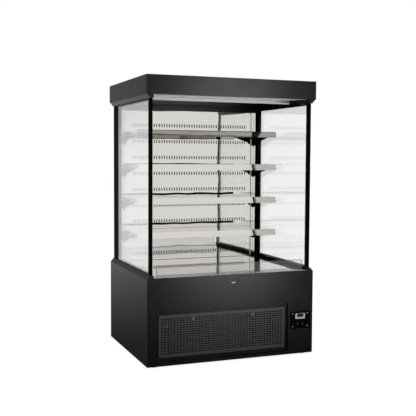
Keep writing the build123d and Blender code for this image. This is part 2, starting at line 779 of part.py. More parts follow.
# ---------------------------------------------------------------- canopy, lamp and blind
def canopy_shell():
    """Black canopy: top sheet, and four fascias, each with a turned-in flange along its foot."""
    half = half_width + canopy_overhang
    depth = half_depth + canopy_overhang
    under = overall_height - sheet
    outer = block((-half, half), (-depth, depth), (canopy_bottom, overall_height))
    outer = fillet(outer.edges().filter_by(Axis.Z), canopy_corner)
    top = outer & block((-half, half), (-depth, depth), (under, overall_height))
    fascia = block((-half, half), (-depth, sheet - depth), (canopy_bottom, under))
    fascia += block((-half, half), (-depth, canopy_flange - depth), (canopy_bottom, ceiling_bottom))
    fascia = outer & fascia
    reach = depth - sheet
    end = block((half - sheet, half), (-reach, reach), (canopy_bottom, under))
    reach = depth - canopy_flange
    end += block((half - canopy_flange, half), (-reach, reach), (canopy_bottom, ceiling_bottom))
    return top, fascia, mirror(fascia, about=Plane.XZ), end, mirrored(end)


def ceiling_panel():
    """Polished ceiling with openings for the blind, the air outlet and the rear duct."""
    half = half_width + canopy_overhang - sheet - ceiling_gap
    depth = half_depth + canopy_overhang - sheet - ceiling_gap
    plate = block((-half, half), (-depth, depth), (ceiling_bottom, ceiling_bottom + thin_sheet))
    z = (ceiling_bottom - 1.0, ceiling_bottom + 5.0)
    slot_half = blind_slot_length / 2
    slot_y = (blind_plane - blind_slot_width / 2, blind_plane + blind_slot_width / 2)
    plate -= block((-slot_half, slot_half), slot_y, z)
    comb_half = honeycomb_length / 2 - honeycomb_lap
    comb_y = (honeycomb_front + honeycomb_lap, honeycomb_front + honeycomb_width - honeycomb_lap)
    plate -= block((-comb_half, comb_half), comb_y, z)
    duct_half = duct_panel_half - thin_sheet
    return plate - block((-duct_half, duct_half), (duct_panel_back + 4.0, rear_wall_front), z)


def honeycomb_outlet():
    """Air straightener above the ceiling opening."""
    step = honeycomb_cell + honeycomb_wall
    columns = int((honeycomb_length - 2 * honeycomb_end_margin) / step)
    rows = int((honeycomb_width - 2 * honeycomb_side_margin) / step)
    cell = Rectangle(honeycomb_cell, honeycomb_cell)
    face = holed(Rectangle(honeycomb_length, honeycomb_width), cell, grid(step, step, columns, rows))
    spot = Plane((0, honeycomb_front + honeycomb_width / 2, ceiling_bottom + thin_sheet))
    return extrude(spot * face, honeycomb_height)


def lamp_housing():
    """Aluminium batten under the ceiling with closed ends."""
    y = (front + lamp_setback - lamp_width / 2, front + lamp_setback + lamp_width / 2)
    half = lamp_length / 2
    z = (ceiling_bottom - lamp_housing_height, ceiling_bottom)
    batten = block((-half, half), y, z)
    batten = fillet(batten.edges().filter_by(Axis.X).group_by(Axis.Z)[-1], 2.0)
    low = ceiling_bottom - lamp_housing_height - lamp_diffuser_height
    for side in (-1, 1):
        edge = sorted((side * half, side * (half - lamp_end_cap)))
        batten += block(edge, y, (low, z[1] - 2.0))
    return batten


def lamp_diffuser():
    """Milky lens under the lamp, rounded towards the shelves."""
    y = (front + lamp_setback - lamp_width / 2 + 1.0, front + lamp_setback + lamp_width / 2 - 1.0)
    half = lamp_length / 2 - lamp_end_cap
    top = ceiling_bottom - lamp_housing_height
    lens = block((-half, half), y, (top - lamp_diffuser_height, top))
    return fillet(lens.edges().filter_by(Axis.X).group_by(Axis.Z)[0], 6.0)


def blind_cassette():
    """Housing round the blind's roller: closed ends with bearing holes, slot along the bottom."""
    inside = cassette_reach - cassette_wall
    inner_half = roller_pin_end - cassette_end

    def around(half, reach):
        y = (roller_axis_y - reach, roller_axis_y + reach)
        return block((-half, half), y, (roller_axis_z - reach, roller_axis_z + reach))

    case = around(roller_pin_end, cassette_reach) - around(inner_half, inside)
    slot_reach = blind_bar_depth / 2 + cassette_slot_gap
    slot_y = (blind_plane - slot_reach, blind_plane + slot_reach)
    case -= block((-inner_half, inner_half), slot_y, (ceiling_bottom, roller_axis_z - inside + 1.0))
    start = (-roller_pin_end - 1.0, roller_axis_y, roller_axis_z)
    end = (roller_pin_end + 1.0, roller_axis_y, roller_axis_z)
    return case - rod(roller_pin_radius + running_fit, start, end, "x")


def blind_roller():
    """Tube that winds the cloth, with a pin at each end."""
    half = roller_length / 2
    left = (-half, roller_axis_y, roller_axis_z)
    tube = rod(roller_radius, left, (half, roller_axis_y, roller_axis_z), "x")
    bore_start = (roller_plug - half, roller_axis_y, roller_axis_z)
    bore_end = (half - roller_plug, roller_axis_y, roller_axis_z)
    tube -= rod(roller_radius - roller_wall, bore_start, bore_end, "x")
    start = (-roller_pin_end, roller_axis_y, roller_axis_z)
    end = (roller_pin_end, roller_axis_y, roller_axis_z)
    pins = rod(roller_pin_radius, start, left, "x")
    pins += rod(roller_pin_radius, (half, roller_axis_y, roller_axis_z), end, "x")
    return tube + pins


def blind_cloth():
    """The short length of cloth that hangs between the roller and the pull bar when the blind is up."""
    half = blind_cloth_width / 2
    y = (blind_plane - blind_cloth_thickness / 2, blind_plane + blind_cloth_thickness / 2)
    return block((-half, half), y, (blind_bar_top, roller_axis_z))


def blind_pull_bar():
    """Aluminium bar at the foot of the cloth, with a finger channel along its underside."""
    half = blind_bar_length / 2
    y = (blind_plane - blind_bar_depth / 2, blind_plane + blind_bar_depth / 2)
    bar = block((-half, half), y, (blind_bar_bottom, blind_bar_top))
    bar = fillet(bar.edges().filter_by(Axis.X), blind_bar_edge)
    grip_half = half - blind_grip_margin
    grip_y = (blind_plane - blind_grip_width / 2, blind_plane + blind_grip_width / 2)
    grip_z = (blind_bar_bottom - 1.0, blind_bar_bottom + blind_grip_depth)
    return bar - block((-grip_half, grip_half), grip_y, grip_z)


# ---------------------------------------------------------------- controls
def button_places():
    """Centres of the two push buttons."""
    z = control_centre_z - button_drop
    return [(control_centre_x - button_spacing / 2, z), (control_centre_x + button_spacing / 2, z)]


def controller_cutout(grow):
    """The controller's square body, grown all round by a gap."""
    half_x = bezel_width / 2 - 2.5 + grow
    half_z = bezel_height / 2 - 2.5 + grow
    z = control_centre_z + bezel_rise
    x = (control_centre_x - half_x, control_centre_x + half_x)
    return block(x, (plate_face, plate_face + controller_depth), (z - half_z, z + half_z))


def control_plate():
    """Plate on the front panel with the controller's opening and two button guides."""
    x = (control_centre_x - control_plate_width / 2, control_centre_x + control_plate_width / 2)
    z = (control_centre_z - control_plate_height / 2, control_centre_z + control_plate_height / 2)
    plate = block(x, (plate_face, front), z)
    plate = fillet(plate.edges().filter_by(Axis.Y), 4.0)
    plate -= controller_cutout(controller_cutout_gap)
    for cx, cz in button_places():
        guide_end = (cx, front + button_guide_length, cz)
        plate += rod(button_radius + slip + button_guide_wall, (cx, front, cz), guide_end, "y")
    for cx, cz in button_places():
        bore_start = (cx, plate_face - 1.0, cz)
        plate -= rod(button_radius + slip, bore_start, (cx, front + button_guide_length + 1.0, cz), "y")
    for cx, cz in control_screw_places():
        plate -= rod(screw_shank_radius, (cx, plate_face - 1.0, cz), (cx, front + 1.0, cz), "y")
    return plate


def controller():
    """Digital thermostat: bezel in front of the plate and its body behind it."""
    centre_z = control_centre_z + bezel_rise
    x = (control_centre_x - bezel_width / 2, control_centre_x + bezel_width / 2)
    z = (centre_z - bezel_height / 2, centre_z + bezel_height / 2)
    bezel = block(x, (plate_face - bezel_thickness, plate_face), z)
    bezel = fillet(bezel.edges().filter_by(Axis.Y), 5.0)
    window_x = (x[0] + bezel_frame, x[1] - bezel_frame - bezel_keys)
    window_y = (plate_face - bezel_thickness - 1.0, plate_face - bezel_thickness + window_depth)
    window = block(window_x, window_y, (z[0] + bezel_frame, z[1] - bezel_frame))
    return bezel - window + controller_cutout(0.0)


def push_button(cx, cz):
    """Round push button that slides in its guide."""
    start = (cx, plate_face - button_proud, cz)
    cap = rod(button_radius, start, (cx, plate_face - button_proud + button_length, cz), "y")
    return fillet(cap.edges().group_by(Axis.Y)[0], 1.2)


# ---------------------------------------------------------------- cooling unit
def finned_block(x, y, z):
    """A coil block with fin grooves down its front and rear faces."""
    body = block(x, y, z)
    count = int((x[1] - x[0] - 16.0) / coil_fin_pitch)
    centre = (x[0] + x[1]) / 2
    grooves = Sketch()
    for step in range(count):
        groove_x = centre + (step - (count - 1) / 2) * coil_fin_pitch
        for face_y in (y[0], y[1]):
            grooves += Pos(groove_x, face_y) * Rectangle(coil_fin_gap, 2 * coil_fin_depth)
    return body - extrude(Plane.XY.offset(z[0] + 6.0) * grooves, z[1] - z[0] - 12.0)


def condenser_coil():
    """Finned condenser behind the front grille, with its tube ends on the right."""
    x = (condenser_centre_x - condenser_width / 2, condenser_centre_x + condenser_width / 2)
    y_front = recess_floor + sheet + 14.0
    y = (y_front, y_front + condenser_depth)
    z = (condenser_bottom, condenser_bottom + condenser_height)
    coil = finned_block(x, y, z)
    centre_y = (y[0] + y[1]) / 2
    for step in range(6):
        tube_z = z[0] + 24.0 + step * (condenser_height - 48.0) / 5
        coil += rod(pipe_radius, (x[1] - 1.0, centre_y, tube_z), (x[1] + stub_length, centre_y, tube_z), "x")
    legs_z = (chassis_top, z[0] + 1.0)
    for side in (x[0] + 20.0, x[1] - 50.0):
        coil += block((side, side + 30.0), (centre_y - 15.0, centre_y + 15.0), legs_z)
    return coil


def fan_centre():
    """Centre of the condenser fan, on the coil's rear face."""
    y = recess_floor + sheet + 14.0 + condenser_depth
    return condenser_centre_x, y, condenser_bottom + condenser_height / 2


def motor_with_struts(centre, ring_radius, back, size, strut_length):
    """Fan motor held behind a ring by three struts."""
    cx, cz = centre
    motor_radius, motor_length = size
    motor = rod(motor_radius, (cx, back, cz), (cx, back + motor_length, cz), "y")
    for turn in (90.0, 210.0, 330.0):
        reach = ring_radius + fan_shroud_ring / 2
        inner = motor_radius - fan_strut / 2
        arm = Pos((reach + inner) / 2, 0, 0) * Box(reach - inner, fan_strut, fan_strut)
        arm = Rot(0, -turn, 0) * arm
        motor += Pos(cx, back + fan_strut / 2, cz) * arm
        tip_x = cx + reach * cos(radians(turn))
        tip_z = cz + reach * sin(radians(turn))
        foot_y = (back - strut_length, back + fan_strut)
        motor += block((tip_x - 4.0, tip_x + 4.0), foot_y, (tip_z - 4.0, tip_z + 4.0))
    return motor


def condenser_fan_shroud():
    """Shroud plate and ring behind the condenser, carrying the fan motor."""
    cx, y, cz = fan_centre()
    x = (cx - condenser_width / 2, cx + condenser_width / 2)
    z = (condenser_bottom, condenser_bottom + condenser_height)
    shroud = block(x, (y, y + sheet), z)
    ring = rod(fan_shroud_hole + fan_shroud_ring, (cx, y, cz), (cx, y + fan_shroud_depth, cz), "y")
    shroud += ring
    shroud -= rod(fan_shroud_hole, (cx, y - 1.0, cz), (cx, y + fan_shroud_depth + 1.0, cz), "y")
    back = y + fan_shroud_depth + 2.0
    motor = motor_with_struts((cx, cz), fan_shroud_hole, back, (fan_motor_radius, fan_motor_length), 6.0)
    shaft = rod(fan_shaft_radius, (cx, y + 6.0, cz), (cx, back + 1.0, cz), "y")
    return shroud + motor + shaft


def bladed_fan(centre, start, size, blades):
    """Axial fan: hub with a shaft bore and flat blades set at an angle."""
    cx, cz = centre
    width, hub_radius, tip_radius = size
    fan = rod(hub_radius, (cx, start, cz), (cx, start + width, cz), "y")
    chord = width / sin(radians(blade_tilt))
    reach = tip_radius - hub_radius + blade_thickness
    for step in range(blades):
        blade_middle = (hub_radius + tip_radius - blade_thickness) / 2
        blade = Pos(blade_middle, 0, 0) * Box(reach, blade_thickness, chord)
        blade = Rot(0, step * 360.0 / blades, 0) * (Rot(90.0 - blade_tilt, 0, 0) * blade)
        fan += Pos(cx, start + width / 2, cz) * blade
    limit = rod(tip_radius, (cx, start, cz), (cx, start + width, cz), "y")
    fan = fan & limit
    bore = rod(fan_shaft_radius + running_fit, (cx, start - 1.0, cz), (cx, start + width + 1.0, cz), "y")
    return fan - bore


def condenser_fan():
    """Fan that draws room air through the condenser."""
    cx, y, cz = fan_centre()
    start = y + (fan_shroud_depth - condenser_fan_width) / 2
    size = (condenser_fan_width, condenser_fan_hub, condenser_fan_radius)
    return bladed_fan((cx, cz), start, size, condenser_fan_blades)


def compressor():
    """Hermetic compressor: domed shell on a foot plate, with two pipe stubs."""
    x, y = compressor_place
    base = chassis_top + 12.0
    shell = rod(compressor_radius, (x, y, base), (x, y, base + compressor_height), "z")
    shell = fillet(shell.edges().group_by(Axis.Z)[-1], compressor_radius * 0.55)
    plate = block((x - 105.0, x + 105.0), (y - 80.0, y + 80.0), (base - 4.0, base + 1.0))
    shell += fillet(plate.edges().filter_by(Axis.Z), 18.0)
    for px, py in grid(170.0, 120.0, 2, 2, (x, y)):
        shell += rod(10.0, (px, py, chassis_top), (px, py, base), "z")
    for pipe_y in (y - 30.0, y + 30.0):
        stub_z = base + compressor_height * 0.55
        stub_start = (x - compressor_radius - stub_length, pipe_y, stub_z)
        shell += rod(pipe_radius + 1.5, stub_start, (x - compressor_radius / 2, pipe_y, stub_z), "x")
    return shell


def refrigerant_pipes():
    """Copper lines: compressor to condenser, condenser to the well, the well back to the compressor."""
    x, y = compressor_place
    stub_x = x - compressor_radius - stub_length
    stub_z = chassis_top + 12.0 + compressor_height * 0.55
    coil_x = condenser_centre_x + condenser_width / 2 + stub_length
    coil_y = recess_floor + sheet + 14.0 + condenser_depth / 2
    top_z = condenser_bottom + condenser_height - 24.0
    low_z = condenser_bottom + 24.0
    well_y = y + 110.0
    routes = [
        [(stub_x, y - 30.0, stub_z), (stub_x - 40.0, y - 30.0, stub_z), (stub_x - 40.0, y - 120.0, top_z),
         (stub_x - 40.0, coil_y, top_z), (coil_x, coil_y, top_z)],
        [(coil_x, coil_y, low_z), (coil_x + 60.0, coil_y, low_z), (coil_x + 60.0, well_y, low_z + 10.0),
         (coil_x + 60.0, well_y, tub_bottom)],
        [(coil_x + 100.0, well_y, tub_bottom), (coil_x + 100.0, well_y, stub_z + 60.0),
         (stub_x - 40.0, y + 30.0, stub_z), (stub_x, y + 30.0, stub_z)],
    ]
    pipes = []
    for route in routes:
        path = FilletPolyline(*route, radius=pipe_bend / 2)
        pipes.append(sweep(Plane(origin=path @ 0, z_dir=path % 0) * Circle(pipe_radius), path))
    return pipes


def condensate_tray():
    """Open tray under the well's drain, where meltwater evaporates."""
    x = (tray_place[0] - tray_width / 2, tray_place[0] + tray_width / 2)
    y = (tray_place[1] - tray_depth / 2, tray_place[1] + tray_depth / 2)
    tray = block(x, y, (chassis_top, chassis_top + tray_height))
    tray = fillet(tray.edges().filter_by(Axis.Z), 12.0)
    inner_x = (x[0] + tray_wall, x[1] - tray_wall)
    inner_y = (y[0] + tray_wall, y[1] - tray_wall)
    hollow = block(inner_x, inner_y, (chassis_top + tray_wall, chassis_top + tray_height + 1.0))
    return tray - fillet(hollow.edges().filter_by(Axis.Z), 10.5)


def electrical_box():
    """Closed box for the relays and the lamp's driver, with a raised lid."""
    width, depth, height = electrical_box_size
    x, y = electrical_box_place
    box_z = (chassis_top, chassis_top + height)
    box = block((x - width / 2, x + width / 2), (y - depth / 2, y + depth / 2), box_z)
    box = fillet(box.edges().filter_by(Axis.Z), 4.0)
    lid_x = (x - width / 2 + 6.0, x + width / 2 - 6.0)
    lid_z = (chassis_top + 6.0, chassis_top + height - 6.0)
    return box + block(lid_x, (y - depth / 2 - 3.0, y - depth / 2 + 1.0), lid_z)


def evaporator_coil():
    """Finned evaporator in the well, on two feet."""
    x = (-evaporator_width / 2, evaporator_width / 2)
    y = (evaporator_centre_y - evaporator_depth / 2, evaporator_centre_y + evaporator_depth / 2)
    bottom = tub_bottom + tub_floor
    z = (bottom + 8.0, bottom + 8.0 + evaporator_height)
    coil = finned_block(x, y, z)
    for side in (x[0] + 40.0, x[1] - 70.0):
        coil += block((side, side + 30.0), y, (bottom, z[0] + 1.0))
    return coil


def evaporator_fan_centres():
    """Centres of the two evaporator fans in the fan plate."""
    z = tub_bottom + tub_floor + 72.0
    return [(-evaporator_fan_spacing / 2, z), (evaporator_fan_spacing / 2, z)]


def evaporator_fan_plate():
    """Plate across the well with two fan openings, each with its motor on struts."""
    half = half_width - side_panel_depth - 2.0 - tub_wall - fan_plate_clearance
    bottom = tub_bottom + tub_floor
    plate = block((-half, half), (fan_plate_y, fan_plate_y + sheet), (bottom, base_top - 6.0))
    for cx, cz in evaporator_fan_centres():
        start = (cx, fan_plate_y, cz)
        plate += rod(evaporator_fan_hole + fan_shroud_ring, start, (cx, fan_plate_y + 14.0, cz), "y")
    for cx, cz in evaporator_fan_centres():
        start = (cx, fan_plate_y - 1.0, cz)
        plate -= rod(evaporator_fan_hole, start, (cx, fan_plate_y + 20.0, cz), "y")
    for cx, cz in evaporator_fan_centres():
        back = fan_plate_y + 16.0
        motor = (evaporator_motor_radius, evaporator_motor_length)
        plate += motor_with_struts((cx, cz), evaporator_fan_hole, back, motor, 4.0)
        plate += rod(fan_shaft_radius, (cx, fan_plate_y - 8.0, cz), (cx, back + 1.0, cz), "y")
    return plate


def evaporator_fan(number):
    """One of the two fans that blow cold air up the rear duct."""
    centre = evaporator_fan_centres()[number]
    start = fan_plate_y - 6.0
    size = (evaporator_fan_width, evaporator_fan_hub, evaporator_fan_radius)
    return bladed_fan(centre, start, size, evaporator_fan_blades)


# ---------------------------------------------------------------- write every sub-part
def build_base():
    write("base_chassis", base_chassis())
    for number, (x, y) in enumerate(foot_places(), start=1):
        write(f"levelling_foot_{number}", levelling_foot(x, y))
    side_panel = base_side_panel()
    write("base_side_panel_right", side_panel)
    write("base_side_panel_left", mirrored(side_panel))
    write("base_front_panel", base_front_panel())
    write("grille_panel", grille_panel())
    write("panel_screws", *panel_screws())
    write("rear_service_panel", rear_service_panel())
    write("cord_gland", cord_gland())
    write("insulated_tub", insulated_tub())


def build_cabinet():
    for name, piece in (("front_post", front_post()), ("rear_post", rear_post()), ("upright", upright())):
        write(name + "_right", piece)
        write(name + "_left", mirrored(piece))
    write("top_rail_frame", *top_rail_frame())
    panes = side_panes()
    write("side_glass_right", *panes)
    write("side_glass_left", *[mirrored(glass) for glass in panes])
    spacer = glass_spacer()
    write("glass_spacers", spacer, mirrored(spacer))
    write("rear_wall", rear_wall())
    write("duct_panel", duct_panel())


def build_shelves():
    for number in range(1, shelf_count + 1):
        write(f"shelf_{number}", shelf(number))
        bracket = shelf_bracket(number)
        write(f"shelf_brackets_{number}", bracket, mirrored(bracket))
    write("deck_pan", deck_pan())
    write("front_ledge", front_ledge())
    write("front_riser", front_riser())


def build_canopy():
    write("canopy_shell", *canopy_shell())
    write("ceiling_panel", ceiling_panel())
    write("honeycomb_outlet", honeycomb_outlet())
    write("lamp_housing", lamp_housing())
    write("lamp_diffuser", lamp_diffuser())
    write("blind_cassette", blind_cassette())
    write("blind_roller", blind_roller())
    write("blind_cloth", blind_cloth())
    write("blind_pull_bar", blind_pull_bar())


def build_controls():
    write("control_plate", control_plate())
    write("controller", controller())
    light, power = button_places()
    write("light_button", push_button(*light))
    write("power_button", push_button(*power))


def build_cooling_unit():
    write("condenser_coil", condenser_coil())
    write("condenser_fan_shroud", condenser_fan_shroud())
    write("condenser_fan", condenser_fan())
    write("compressor", compressor())
    write("refrigerant_pipes", *refrigerant_pipes())
    write("condensate_tray", condensate_tray())
    write("electrical_box", electrical_box())
    write("evaporator_coil", evaporator_coil())
    write("evaporator_fan_plate", evaporator_fan_plate())
    write("evaporator_fan_left", evaporator_fan(0))
    write("evaporator_fan_right", evaporator_fan(1))


os.makedirs("parts", exist_ok=True)
build_base()
build_cabinet()
build_shelves()
build_canopy()
build_controls()
build_cooling_unit()
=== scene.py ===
"""Finishes, trim and studio for an open multideck display fridge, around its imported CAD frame.

The fridge stands on z = 0 and its open front faces -Y. Lengths are in metres unless a name ends in _mm.
"""
import json
import math

import bpy
from mathutils import Matrix, Vector


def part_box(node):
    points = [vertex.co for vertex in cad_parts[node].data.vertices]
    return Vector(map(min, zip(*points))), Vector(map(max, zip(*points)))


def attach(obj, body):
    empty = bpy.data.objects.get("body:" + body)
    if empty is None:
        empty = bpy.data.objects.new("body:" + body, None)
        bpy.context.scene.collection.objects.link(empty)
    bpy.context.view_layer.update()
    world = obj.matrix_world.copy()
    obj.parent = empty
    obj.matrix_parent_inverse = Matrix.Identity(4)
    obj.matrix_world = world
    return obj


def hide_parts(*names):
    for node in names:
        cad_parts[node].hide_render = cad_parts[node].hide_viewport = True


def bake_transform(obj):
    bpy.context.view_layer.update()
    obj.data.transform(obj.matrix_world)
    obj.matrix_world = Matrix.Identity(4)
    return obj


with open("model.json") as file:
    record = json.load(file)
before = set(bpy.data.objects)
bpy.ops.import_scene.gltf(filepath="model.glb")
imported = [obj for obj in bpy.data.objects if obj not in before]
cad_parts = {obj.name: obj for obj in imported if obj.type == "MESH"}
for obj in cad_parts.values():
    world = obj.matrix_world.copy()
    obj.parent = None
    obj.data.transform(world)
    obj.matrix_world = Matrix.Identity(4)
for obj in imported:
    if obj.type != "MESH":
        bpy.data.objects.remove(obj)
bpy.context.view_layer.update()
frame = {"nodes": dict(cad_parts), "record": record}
scene = bpy.context.scene
scene.view_settings.view_transform = "Standard"

MM = 0.001
SHELVES = (1, 2, 3, 4)
# Each side of the fridge, with the sign of x that points out of it.
SIDES = (("left", -1), ("right", 1))
WHITE = (1.0, 1.0, 1.0, 1.0)


# ---------------------------------------------------------------- camera
CAMERA_PLACE = Vector((-2.0165, -5.1926, 1.3671))
CAMERA_AIM = Vector((0.36597, 0.92868, -0.06011))
CAMERA_ROLL = math.radians(0.32)
CAMERA_LENS_MM = 66.98
CAMERA_SHIFT = -0.0096
CAMERA_REACH = 60.0


def set_camera():
    """A long lens a little left of the front, at the height of the upper shelves."""
    data = bpy.data.cameras.new("photo_camera")
    data.lens = CAMERA_LENS_MM
    data.shift_x = CAMERA_SHIFT
    data.shift_y = CAMERA_SHIFT
    data.clip_end = CAMERA_REACH
    camera = bpy.data.objects.new("photo_camera", data)
    scene.collection.objects.link(camera)
    aim = CAMERA_AIM.normalized()
    level = aim.cross(Vector((0, 0, 1))).normalized()
    up = level.cross(aim)
    right = math.cos(CAMERA_ROLL) * level + math.sin(CAMERA_ROLL) * up
    top = math.cos(CAMERA_ROLL) * up - math.sin(CAMERA_ROLL) * level
    turn = Matrix((right, top, -aim)).transposed()
    camera.matrix_world = Matrix.Translation(CAMERA_PLACE) @ turn.to_4x4()
    scene.camera = camera


# ---------------------------------------------------------------- material helpers
def srgb(code):
    """A six-digit sRGB hex colour as linear RGBA."""
    channels = [int(code[i : i + 2], 16) / 255 for i in (0, 2, 4)]
    linear = [c / 12.92 if c <= 0.04045 else ((c + 0.055) / 1.055) ** 2.4 for c in channels]
    return (*linear, 1.0)


def cells(size_mm):
    """The texture scale whose cells are this many millimetres wide."""
    return 1000.0 / size_mm


def bands(size_mm):
    """The wave texture scale whose bands are this many millimetres apart: scale 1 has 20 in 2 pi units."""
    return 2 * math.pi * cells(size_mm) / 20


def add_node(tree, kind, settings=(), **inputs):
    """Adds a node. Inputs are named, or numbered as in_0; each is a constant or another node's output."""
    node = tree.nodes.new(kind)
    for name, value in dict(settings).items():
        setattr(node, name, value)
    for name, value in inputs.items():
        socket = node.inputs[int(name[3:]) if name.startswith("in_") else name.replace("_", " ")]
        if isinstance(value, bpy.types.NodeSocket):
            tree.links.new(value, socket)
        else:
            socket.default_value = value
    return node


def new_finish(name, **constants):
    """A material with its shader's constants set. Gives it, its tree, its shader and object coordinates."""
    material = bpy.data.materials.new(name)
    material.use_nodes = True
    tree = material.node_tree
    shader = tree.nodes["Principled BSDF"]
    for socket, value in constants.items():
        shader.inputs[socket.replace("_", " ")].default_value = value
    place = add_node(tree, "ShaderNodeTexCoord").outputs["Object"]
    return material, tree, shader, place


def vary_surface(tree, shader, pattern, colours, roughness, wear=None):
    """Lets a pattern move the colour between two hex colours and the roughness between two values.

    The roughness spans the middle of the pattern's range. It follows a pattern of its own where wear is given.
    """
    first_colour, last_colour = colours
    first_roughness, last_roughness = roughness
    tint = add_node(
        tree, "ShaderNodeMix", {"data_type": "RGBA"},
        in_0=pattern, in_6=srgb(first_colour), in_7=srgb(last_colour),
    )
    tree.links.new(tint.outputs[2], shader.inputs["Base Color"])
    polish = add_node(
        tree, "ShaderNodeMapRange", Value=pattern if wear is None else wear,
        From_Min=0.3, From_Max=0.7, To_Min=first_roughness, To_Max=last_roughness,
    )
    tree.links.new(polish.outputs["Result"], shader.inputs["Roughness"])


# ---------------------------------------------------------------- finishes
def black_powder_coat(name, gloss):
    """Black polyester powder coat on steel, sprayed and baked: a deep satin with orange peel in its gloss."""
    material, tree, shader, place = new_finish(name, Specular_IOR_Level=gloss)
    cloud = add_node(tree, "ShaderNodeTexNoise", Vector=place, Scale=cells(90), Detail=3.0)
    vary_surface(tree, shader, cloud.outputs["Fac"], ("060607", "0A0A0B"), (0.28, 0.32))
    # Real orange peel is 1 to 2 mm across; at 4 mm it still shows as a soft break-up of the highlights.
    peel = add_node(tree, "ShaderNodeTexNoise", Vector=place, Scale=cells(4), Detail=1.0)
    bump = add_node(tree, "ShaderNodeBump", Height=peel.outputs["Fac"], Distance=0.06 * MM, Strength=0.5)
    tree.links.new(bump.outputs["Normal"], shader.inputs["Normal"])
    return material


def graphite_coat():
    """Graphite polyester coat of the punched grille: softer and lighter than the black skins around it."""
    material, tree, shader, place = new_finish("graphite_powder_coat", Specular_IOR_Level=0.2)
    cloud = add_node(tree, "ShaderNodeTexNoise", Vector=place, Scale=cells(60), Detail=3.0)
    vary_surface(tree, shader, cloud.outputs["Fac"], ("101012", "181819"), (0.42, 0.5))
    return material


def stainless_sheet(name, wave_depth_mm, roughness):
    """Stainless sheet, faintly streaked by rolling and slightly wavy once folded.

    Bright annealed, at a roughness near 0.03, it is a mirror.
    """
    material, tree, shader, place = new_finish(name, Metallic=1.0)
    stretched = add_node(tree, "ShaderNodeMapping", Vector=place, Scale=(0.02, 1.0, 1.0))
    streak = add_node(
        tree, "ShaderNodeTexNoise", Vector=stretched.outputs[0], Scale=cells(6), Detail=4.0
    )
    smear = add_node(tree, "ShaderNodeTexNoise", Vector=place, Scale=cells(70), Detail=3.0)
    vary_surface(
        tree, shader, streak.outputs["Fac"], ("CFCCC6", "DBD9D4"), roughness, wear=smear.outputs["Fac"]
    )
    # Waves about 260 mm long, as left by folding and fixing thin sheet.
    wave = add_node(tree, "ShaderNodeTexNoise", Vector=place, Scale=cells(260), Detail=1.0)
    bump = add_node(
        tree, "ShaderNodeBump", Height=wave.outputs["Fac"], Distance=wave_depth_mm * MM, Strength=1.0
    )
    tree.links.new(bump.outputs["Normal"], shader.inputs["Normal"])
    return material


def float_glass():
    """Clear float glass with a soft neutral tint: sharp and clean, with a faint film left by wiping."""
    material, tree, shader, place = new_finish(
        "clear_float_glass", Transmission_Weight=1.0, IOR=1.5, Roughness=0.0, Specular_IOR_Level=0.25
    )
    film = add_node(tree, "ShaderNodeTexNoise", Vector=place, Scale=cells(300), Detail=3.0)
    tint = add_node(
        tree, "ShaderNodeMix", {"data_type": "RGBA"},
        in_0=film.outputs["Fac"], in_6=srgb("FBFDFD"), in_7=srgb("FEFFFF"),
    )
    tree.links.new(tint.outputs[2], shader.inputs["Base Color"])
    return material


def riser_glass():
    """Toughened clear riser, faintly grey against the light. Its edge traps the light and shows as a line;
    that line is painted into the tint as a dark grey band, on an edge that is ground rougher.
    """
    material, tree, shader, place = new_finish(
        "toughened_riser_glass", Transmission_Weight=1.0, IOR=1.5, Specular_IOR_Level=0.35
    )
    line_width = 2.5 * MM
    edge_roughness = 0.35
    _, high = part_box("front_riser")
    where = add_node(tree, "ShaderNodeSeparateXYZ", in_0=place)
    across = add_node(tree, "ShaderNodeMath", {"operation": "ABSOLUTE"}, in_0=where.outputs["X"])
    end = add_node(
        tree, "ShaderNodeMath", {"operation": "GREATER_THAN"},
        in_0=across.outputs[0], in_1=high.x - line_width,
    )
    top = add_node(
        tree, "ShaderNodeMath", {"operation": "GREATER_THAN"},
        in_0=where.outputs["Z"], in_1=high.z - line_width,
    )
    edge = add_node(
        tree, "ShaderNodeMath", {"operation": "MAXIMUM"}, in_0=end.outputs[0], in_1=top.outputs[0]
    )
    film = add_node(tree, "ShaderNodeTexNoise", Vector=place, Scale=cells(200), Detail=3.0)
    face = add_node(
        tree, "ShaderNodeMix", {"data_type": "RGBA"},
        in_0=film.outputs["Fac"], in_6=srgb("EAEDEE"), in_7=srgb("F0F2F3"),
    )
    # Painted light: the line that the edge shows is painted here as a dark grey tint.
    tint = add_node(
        tree, "ShaderNodeMix", {"data_type": "RGBA"},
        in_0=edge.outputs[0], in_6=face.outputs[2], in_7=srgb("4A5052"),
    )
    tree.links.new(tint.outputs[2], shader.inputs["Base Color"])
    grind = add_node(
        tree, "ShaderNodeMath", {"operation": "MULTIPLY"}, in_0=edge.outputs[0], in_1=edge_roughness
    )
    tree.links.new(grind.outputs[0], shader.inputs["Roughness"])
    return material


def black_moulded_plastic():
    """Black ABS from a spark-eroded mould: matte, with a fine leathery grain."""
    material, tree, shader, place = new_finish("black_grained_abs", Specular_IOR_Level=0.4)
    grain = add_node(tree, "ShaderNodeTexVoronoi", Vector=place, Scale=cells(1.6)).outputs["Distance"]
    vary_surface(tree, shader, grain, ("121213", "1D1D1F"), (0.5, 0.62))
    bump = add_node(tree, "ShaderNodeBump", Height=grain, Distance=0.08 * MM, Strength=0.6)
    tree.links.new(bump.outputs["Normal"], shader.inputs["Normal"])
    return material


def silver_lacquer():
    """Silver lacquer on moulded ABS: a soft metallic sheen with tiny bright flakes."""
    material, tree, shader, place = new_finish("silver_lacquered_abs", Metallic=0.6)
    flake = add_node(tree, "ShaderNodeTexVoronoi", Vector=place, Scale=cells(0.8))
    vary_surface(
        tree, shader, flake.outputs["Color"], ("A9ABAE", "D6D7D9"), (0.3, 0.42),
        wear=flake.outputs["Distance"],
    )
    return material


